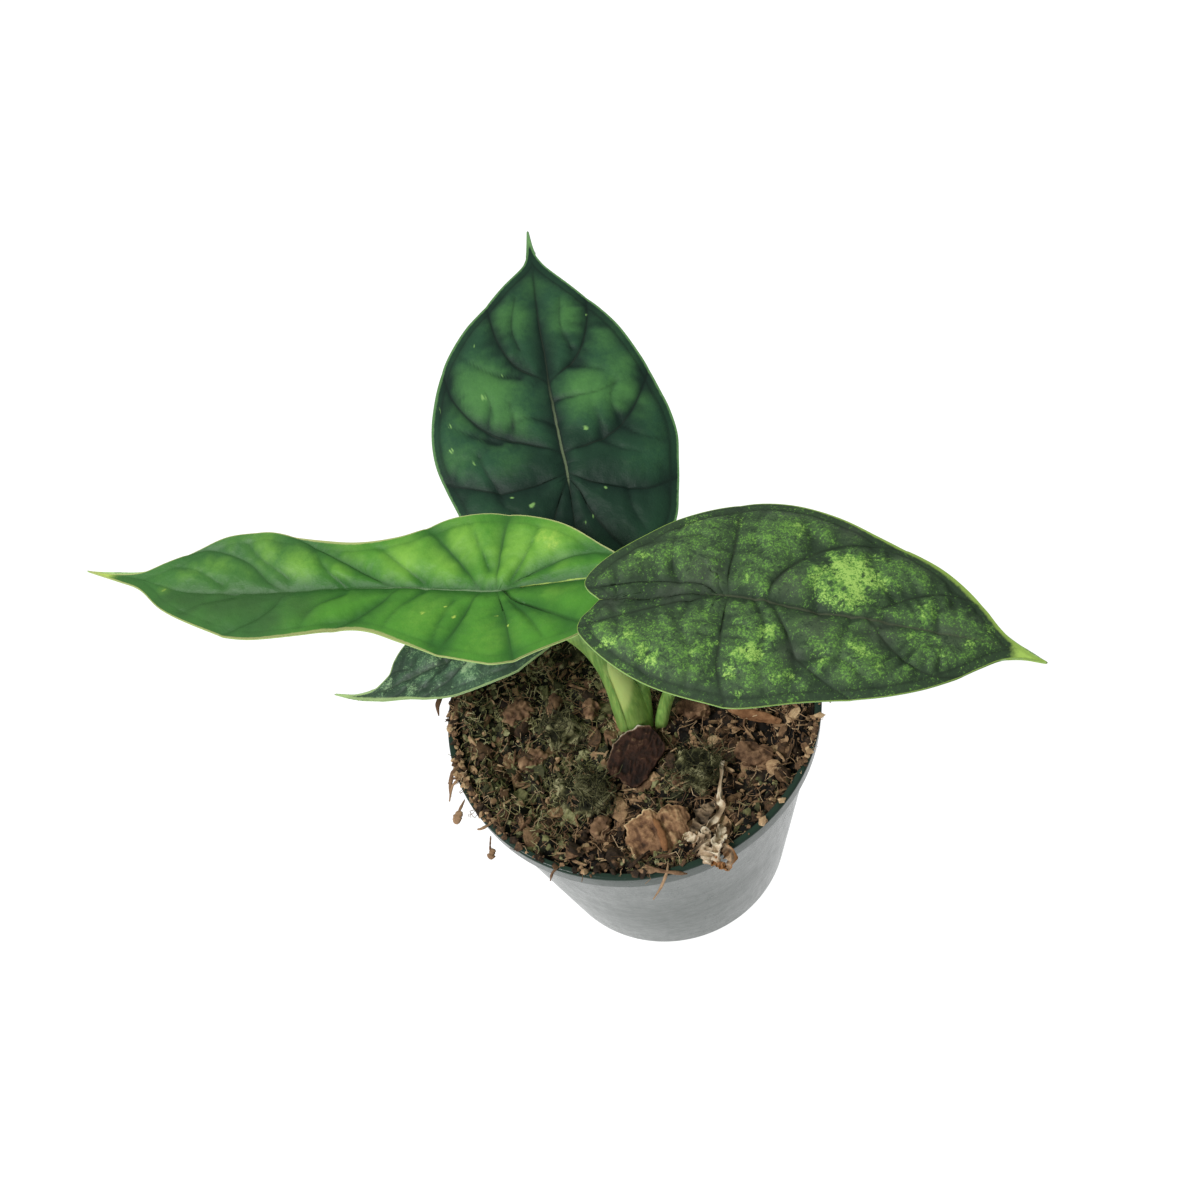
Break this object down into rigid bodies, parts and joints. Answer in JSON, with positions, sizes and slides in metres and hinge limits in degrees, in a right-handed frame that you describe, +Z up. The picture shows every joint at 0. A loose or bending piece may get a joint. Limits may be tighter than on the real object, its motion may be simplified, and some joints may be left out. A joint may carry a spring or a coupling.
{
  "type": "potted dragon scale alocasia",
  "caption": "Young aroid house plant with thick quilted shield leaves on arching fleshy stalks, growing in a round tapered nursery pot of bark mix.",
  "frame": {"origin": "middle of the pot's flat base, on the surface it stands on", "axes": "+Z up along the pot's axis; the back leaf leans towards +Y, the pinched leaf towards -X, the mottled leaf towards +X and -Y"},
  "size_m": [0.2258, 0.184, 0.1662],
  "materials": {
    "pot": "moulded dark green plastic, satin",
    "soil": "coarse moist bark and peat mix",
    "corm": "rough brown skin",
    "stalk": "smooth fleshy green, satin",
    "blade_right": "thick quilted leaf, dark green mottled with pale green",
    "blade_left": "thick quilted leaf, fresh bright green",
    "blade_back": "thick quilted leaf, deep blue green with darker veins",
    "blade_low": "thick quilted leaf, dark green mottled with grey green",
    "bark": "rough brown bark",
    "moss": "dull green fibrous moss",
    "dry_leaf": "withered tan leaf, crumpled"
  },
  "bodies": {
    "root": {"pot": "pot", "soil": "soil", "corm": "corm", "stalk_right": "stalk", "blade_right": "blade_right", "stalk_left": "stalk", "blade_left": "blade_left", "stalk_back": "stalk", "blade_back": "blade_back", "stalk_low": "stalk", "blade_low": "blade_low", "bark_disc": "bark", "bark_flake": "bark", "bark_strip": "bark", "bark_chip_1": "bark", "bark_chip_2": "bark", "bark_chip_3": "bark", "bark_chip_4": "bark", "bark_chip_5": "bark", "bark_chip_6": "bark", "bark_chip_7": "bark", "bark_chip_8": "bark", "bark_chip_9": "bark", "moss_left": "moss", "moss_far_left": "moss", "moss_right": "moss", "moss_back": "moss", "dry_leaf": "dry_leaf"}
  },
  "joints": []
}
